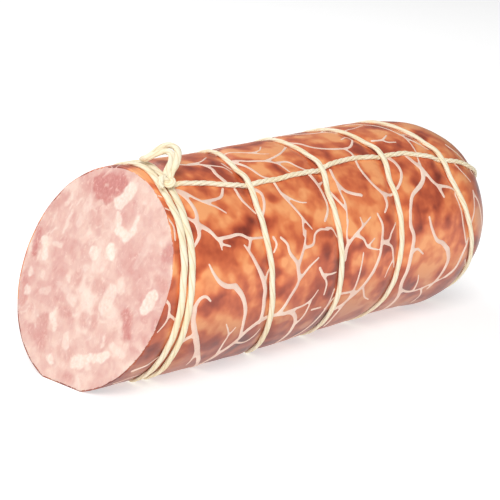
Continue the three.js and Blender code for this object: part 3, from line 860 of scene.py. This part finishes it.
def flat_veins(name, stems):
    drawing = bpy.data.curves.new(name, "CURVE")
    drawing.dimensions = "3D"
    drawing.bevel_depth = 1.0
    drawing.bevel_resolution = 2
    drawing.use_fill_caps = True
    for number, (root, tip, points) in enumerate(stems):
        unrolled = [(station, math.radians(degrees) * RADIUS) for station, degrees in points]
        line = curve_through(unrolled, VEIN_STEP)
        widths = []
        for i, (x, y) in enumerate(line):
            uneven = 1 + 0.14 * noise.noise(Vector((x / 5, y / 5, number)))
            widths.append((root + (tip - root) * i / (len(line) - 1)) / 2 * uneven + WEB)
        ends = []
        for here, before, half in ((line[0], line[1], widths[0]), (line[-1], line[-2], widths[-1])):
            dx, dy = here[0] - before[0], here[1] - before[1]
            scale = half / math.hypot(dx, dy)
            ends.append([
                (here[0] + dx * scale * on, here[1] + dy * scale * on, half * thin) for on, thin in ROUNDING
            ])
        run = ends[0][::-1] + [(x, y, half) for (x, y), half in zip(line, widths)] + ends[1]
        spline = drawing.splines.new("POLY")
        spline.points.add(len(run) - 1)
        for point, (x, y, half) in zip(spline.points, run):
            point.co = (x, y, 0, 1)
            point.radius = half
    drawn = bpy.data.objects.new(name, drawing)
    scene.collection.objects.link(drawn)
    shell = bpy.data.objects.new(name, bpy.data.meshes.new_from_object(
        drawn.evaluated_get(bpy.context.evaluated_depsgraph_get())
    ))
    bpy.data.objects.remove(drawn)
    scene.collection.objects.link(shell)
    grown_together = shell.modifiers.new("grown_together", "REMESH")
    grown_together.mode = "VOXEL"
    grown_together.voxel_size = VEIN_VOXEL
    softened = shell.modifiers.new("softened", "SMOOTH")
    softened.factor = 0.5
    softened.iterations = 3
    thinned = shell.modifiers.new("thinned", "DISPLACE")
    thinned.mid_level = 0
    thinned.strength = -WEB * 0.92
    web = bpy.data.meshes.new_from_object(shell.evaluated_get(bpy.context.evaluated_depsgraph_get()))
    bpy.data.objects.remove(shell)
    return web


def lay_veins(name, stems):
    bm = bmesh.new()
    bm.from_mesh(flat_veins(name, stems))
    for vertex in bm.verts:
        vertex.co = on_skin(vertex.co.x, vertex.co.y / RADIUS, vertex.co.z * VEIN_RISE)[0]
    bmesh.ops.bisect_plane(bm, geom=bm.verts[:] + bm.edges[:] + bm.faces[:], dist=1e-5, **knife)
    bmesh.ops.holes_fill(bm, edges=[edge for edge in bm.edges if edge.is_boundary], sides=0)
    bmesh.ops.recalc_face_normals(bm, faces=bm.faces)
    finished(name, bm, vein, "veins")


vein, tree, shader = finish("dried_vein", Specular_IOR_Level=0.5)
where = node(tree, "ShaderNodeTexCoord", {}, {}, output="Object")
mottle = speckle(tree, where, 90, 3, 0.55)
fine = speckle(tree, where, 600, 3, 0.6)
tone = blend(tree, mottle.step(0.35, 0.66), srgb(236, 202, 184), srgb(247, 221, 202))
tone = blend(tree, fine.step(0.55, 0.75) * 0.3, tone, srgb(214, 168, 148))
tree.links.new(tone.socket, shader.inputs["Base Color"])
dullness = 0.36 + fine * 0.14
tree.links.new(dullness.socket, shader.inputs["Roughness"])
lay_veins("veins_on_the_front", STEMS)
lay_veins("veins_on_the_back", hidden_stems())


# ---- Twine ------------------------------------------------------------------------------
# Soft cotton butcher's twine: three strands laid together, pressed flat where it is drawn
# tight on the sausage, rounder where it stands free. Fine fibres show along the strands.

STRANDS_LAID = 3
TWINE_COLUMNS = 18
RING_STEP = 0.9

twine, tree, shader = finish("cotton_twine", Specular_IOR_Level=0.2)
laid = node(tree, "ShaderNodeUVMap", {"uv_map": "lay"}, {})
round_lay = node(tree, "ShaderNodeSeparateXYZ", {}, {"Vector": laid})
ply_groove_shade_and_depth = 1 - (round_lay * (STRANDS_LAID * math.pi)).math("COSINE").math("ABSOLUTE")
along = node(tree, "ShaderNodeMapping", {}, {"Vector": laid, "Scale": (34.0, 5.0, 1.0)})
fibre = speckle(tree, along, 1.0, 3, 0.65, 0.3)
where = node(tree, "ShaderNodeTexCoord", {}, {}, output="Object")
soil = speckle(tree, where, 110, 3, 0.6)
tone = blend(tree, soil.step(0.4, 0.7), srgb(250, 240, 214), srgb(245, 230, 194))
tone = blend(tree, fibre.step(0.52, 0.75) * 0.35, tone, srgb(226, 204, 156))
# Painted shade: the grooves between the laid strands are darkened to tan, standing in for the shade in them.
tone = blend(tree, ply_groove_shade_and_depth.step(0.45, 1.0) * 0.45, tone, srgb(212, 184, 134))
tree.links.new(tone.socket, shader.inputs["Base Color"])
shader.inputs["Roughness"].default_value = 0.85
relief = fibre * 0.6 - ply_groove_shade_and_depth * 0.4
pressed(tree, shader, relief, 0.5, 0.0004)


def laid_twine(bm, path, pitch, lobe, width=TWINE_WIDTH, thickness=TWINE_THICKNESS, closed=False, ends=0.0):
    """Lays twine along a path of (point, outward direction) pairs. The mesh turns with the lay."""
    rings = len(path) if closed else len(path) - 1
    walked = [0.0]
    for i in range(rings):
        walked.append(walked[-1] + (path[(i + 1) % len(path)][0] - path[i][0]).length)
    turns = max(1, round(walked[-1] / pitch)) if closed else walked[-1] / pitch
    piece = bmesh.new()
    lay = piece.loops.layers.uv.new("lay")
    bmesh.ops.create_grid(piece, x_segments=TWINE_COLUMNS, y_segments=rings, size=0.5, calc_uvs=True)
    for vertex in piece.verts:
        ring = round((vertex.co.y + 0.5) * rings)
        centre, out = path[ring % len(path)]
        after = path[(ring + 1) % len(path)][0] if closed or ring < rings else centre
        before = path[ring - 1][0] if closed or ring > 0 else centre
        forward = (after - before).normalized()
        side = forward.cross(out).normalized()
        out = side.cross(forward)
        share = walked[ring] / walked[-1]
        lie = (vertex.co.x + 0.5) * math.tau
        turn = lie + turns * share * math.tau
        swell = 1 - lobe + lobe * abs(math.cos(STRANDS_LAID / 2 * lie)) ** 0.7
        swell *= 1 + 0.07 * noise.noise(Vector((walked[ring] / 7, len(path), 3)))
        if not closed and ends:
            swell *= 1 - ends * (1 - smooth(0, 2, min(walked[ring], walked[-1] - walked[ring])))
        sideways = side * (width / 2 * swell * math.cos(turn))
        vertex.co = centre + sideways + out * (thickness / 2 * swell * math.sin(turn))
    for face in piece.faces:
        for loop in face.loops:
            loop[lay].uv.y *= walked[-1] / 10
    bmesh.ops.remove_doubles(piece, verts=piece.verts, dist=1e-4)
    if not closed:
        bmesh.ops.holes_fill(piece, edges=[edge for edge in piece.edges if edge.is_boundary], sides=0)
    bmesh.ops.recalc_face_normals(piece, faces=piece.faces)
    mesh = bpy.data.meshes.new("twine_run")
    piece.to_mesh(mesh)
    piece.free()
    bm.from_mesh(mesh)
    bpy.data.meshes.remove(mesh)


# [station, degrees] of the lengthwise strands, then [radius, degrees] over the dome
FRONT_RUN = [
    (26, 62.8), (31.6, 62), (45, 58.8), (53, 56), (60, 53.8), (78, 53.2), (98, 53.8), (110, 54), (120, 56.2),
    (136, 57.4), (149, 56), (165, 54.6), (172, 53.8), (183, 50.2), (197, 45.2), (207, 43), (216, 40.5),
]
FRONT_OVER_DOME = [(42, 40), (39.5, 39.5), (36, 39), (31, 38.5), (25, 38), (18, 37.5), (12, 37), (7.7, 36)]
BACK_RUN = [
    (24, 225), (33.4, 226), (52, 228), (75, 227), (98, 225), (122, 224), (150, 226),
    (175, 228), (198, 226), (216, 224),
]
BACK_OVER_DOME = [
    (42, 223.5), (39.5, 223), (36, 222), (31, 221), (25, 220), (18, 219), (12, 218), (7.7, 217),
]
STRAND_SINK = 0.25
HOOP_SINK = 0.25
CROSSING_LIFT = 1.8
CROSSING_REACH = 15.0
CROSSING_TOP = 2.5
END_HOOP_WIDTH = 3.6
END_HOOPS = 2


def strand_line(run, over_dome):
    on_dome = [(dome_station(radius), degrees) for radius, degrees in over_dome]
    return curve_through(run + on_dome, RING_STEP)


front_line = strand_line(FRONT_RUN, FRONT_OVER_DOME)
back_line = strand_line(BACK_RUN, BACK_OVER_DOME)


def crossing_angle(hoop, line):
    """The angle at which a lengthwise strand passes under a hoop."""
    gap = [(abs(station - hoop_station(hoop, math.radians(degrees))), degrees) for station, degrees in line]
    return math.radians(min(gap)[1])


for name, line in (("front_strand", front_line), ("back_strand", back_line)):
    path = []
    for i, (station, degrees) in enumerate(line):
        wander = 0.35 * noise.noise(Vector((station / 9, 4, 1)))
        path.append(on_skin(station, math.radians(degrees + wander), TWINE_THICKNESS / 2 - STRAND_SINK))
    bm = bmesh.new()
    laid_twine(bm, path, pitch=13, width=2.6, thickness=2.2, lobe=0.2)
    finished("lengthwise_" + name, bm, twine, "twine", name)

for number, hoop in enumerate(HOOPS):
    steps = round(math.tau * RADIUS / RING_STEP)
    crossings = [crossing_angle(hoop, line) for line in (front_line, back_line)]
    if number < END_HOOPS:
        crossings = crossings[1:]
    path = []
    for i in range(steps):
        angle = i / steps * math.tau
        lift = 0.0
        for crossing in crossings:
            away = abs((angle - crossing + math.pi) % math.tau - math.pi)
            lift = max(lift, CROSSING_LIFT * smooth(CROSSING_REACH, CROSSING_TOP, math.degrees(away)))
        spot = Vector((math.cos(angle) * 4, math.sin(angle) * 4, number))
        station = hoop_station(hoop, angle) + 0.5 * noise.noise(spot)
        height = TWINE_THICKNESS / 2 - HOOP_SINK + lift
        point, out = on_skin(station, angle, height)
        point.z = max(point.z, TWINE_THICKNESS / 2)
        path.append((point, out))
    bm = bmesh.new()
    width = END_HOOP_WIDTH if number < END_HOOPS else TWINE_WIDTH
    laid_twine(bm, path, pitch=34, width=width, lobe=0.09, closed=True)
    finished("twine_" + hoop[0], bm, twine, "twine", hoop[0])


# ---- Knot, loop and tail ----------------------------------------------------------------
# The end of the twine is knotted over both end hoops. A doubled bight of it is drawn up
# through the knot as a short loop to hang the sausage by, and its cut end stands beside it.

LOOP_WIDTH = 3.1
LOOP_THICKNESS = 2.8

# (station, degrees, height over the body's radius)
LOOP_OUTER_ROUTE = [
    (24.2, 62.3, 3), (26.7, 64.9, 4.9), (30, 67.3, 7), (33.2, 70.6, 8.5), (35.8, 75, 9.2), (37, 80.3, 8.7),
    (35.9, 83.3, 7.8), (33.2, 84.8, 5.8), (31.2, 87, 3.2), (30.7, 90.5, 1.2), (30.9, 94.5, 0.4),
]
LOOP_INNER_ROUTE = [
    (22.8, 63.4, 2.8), (24.7, 66, 4.8), (27.6, 68.4, 6.6), (31, 72.1, 7.6), (32.6, 75.6, 7.8),
    (32.2, 78.9, 7.1), (30.2, 81, 5.6), (28.4, 83.2, 3.9), (27.7, 85.8, 2.3), (28, 88.5, 1.6),
]
TAIL_ROUTE = [(22.0, 63.6, 4.0), (20.0, 62.6, 3.6), (18.6, 60.8, 2.6), (18.4, 58.4, 1.9)]
KNOT_STATION = 23.8
KNOT_DEGREES = 63.0
KNOT_HEIGHT = 2.2
KNOT_SPAN = 2.9
KNOT_LIFT = 1.0
KNOT_STEPS = 60


def free_path(route, step=0.7):
    """A path through (station, degrees, height) stops that stands clear of the skin."""
    unrolled = [(s, math.radians(d) * RADIUS, h) for s, d, h in route]
    path = []
    for station, girth, height in curve_through(unrolled, step):
        angle = girth / RADIUS
        path.append((place(station, angle, RADIUS + height), Vector((0, -math.cos(angle), math.sin(angle)))))
    return path


for name, route in (("outer", LOOP_OUTER_ROUTE), ("inner", LOOP_INNER_ROUTE)):
    path = free_path(route)
    bm = bmesh.new()
    laid_twine(bm, path, pitch=26, width=LOOP_WIDTH, thickness=LOOP_THICKNESS, lobe=0.08, ends=0.45)
    loop = finished("hanging_loop_" + name + "_strand", bm, twine, "twine", "hanging_loop_" + name)
    line = [point * MM for point, _ in path]
    length = sum((b - a).length for a, b in zip(line, line[1:]))

# The knot is pulled tight into three crossing bights
path = []
for i in range(KNOT_STEPS):
    turn = i / KNOT_STEPS * math.tau
    along = KNOT_SPAN * (math.sin(turn) + 2 * math.sin(2 * turn)) / 3
    around = KNOT_SPAN * (math.cos(turn) - 2 * math.cos(2 * turn)) / 3
    angle = math.radians(KNOT_DEGREES) + around / RADIUS
    height = KNOT_HEIGHT - KNOT_LIFT * math.sin(3 * turn)
    out = Vector((0, -math.cos(angle), math.sin(angle)))
    path.append((place(KNOT_STATION + along, angle, RADIUS + height), out))
bm = bmesh.new()
laid_twine(bm, path, pitch=18, width=2.7, thickness=2.3, lobe=0.12, closed=True)
finished("twine_knot", bm, twine, "twine", "main_knot")

bm = bmesh.new()
laid_twine(bm, free_path(TAIL_ROUTE), pitch=12, width=2.2, thickness=1.9, lobe=0.2)
finished("cut_twine_end", bm, twine, "twine", "knot_tail")


# ---- Neck tie ---------------------------------------------------------------------------
# Both lengthwise strands end at the far end, where turns of the same twine close the
# gathered neck of the casing.

NECK_TURNS = 2.6
NECK_TIE_STEPS = 150
neck_low, neck_high = (Vector(corner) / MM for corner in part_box("neck_tie"))
path = []
for i in range(NECK_TIE_STEPS):
    share = i / (NECK_TIE_STEPS - 1)
    angle = share * NECK_TURNS * math.tau + 0.6
    station = neck_low.x + MIDDLE_STATION + 1.1 + share * (neck_high.x - neck_low.x - 1.6)
    radius = NECK_RADIUS + 1.0 + 0.5 * math.sin(share * math.pi)
    out = Vector((0, -math.cos(angle), math.sin(angle)))
    path.append((place(station, angle, radius), out))
bm = bmesh.new()
laid_twine(bm, path, pitch=11, width=2.6, thickness=2.2, lobe=0.18)
finished("twine_neck_tie", bm, twine, "twine", "neck_tie")
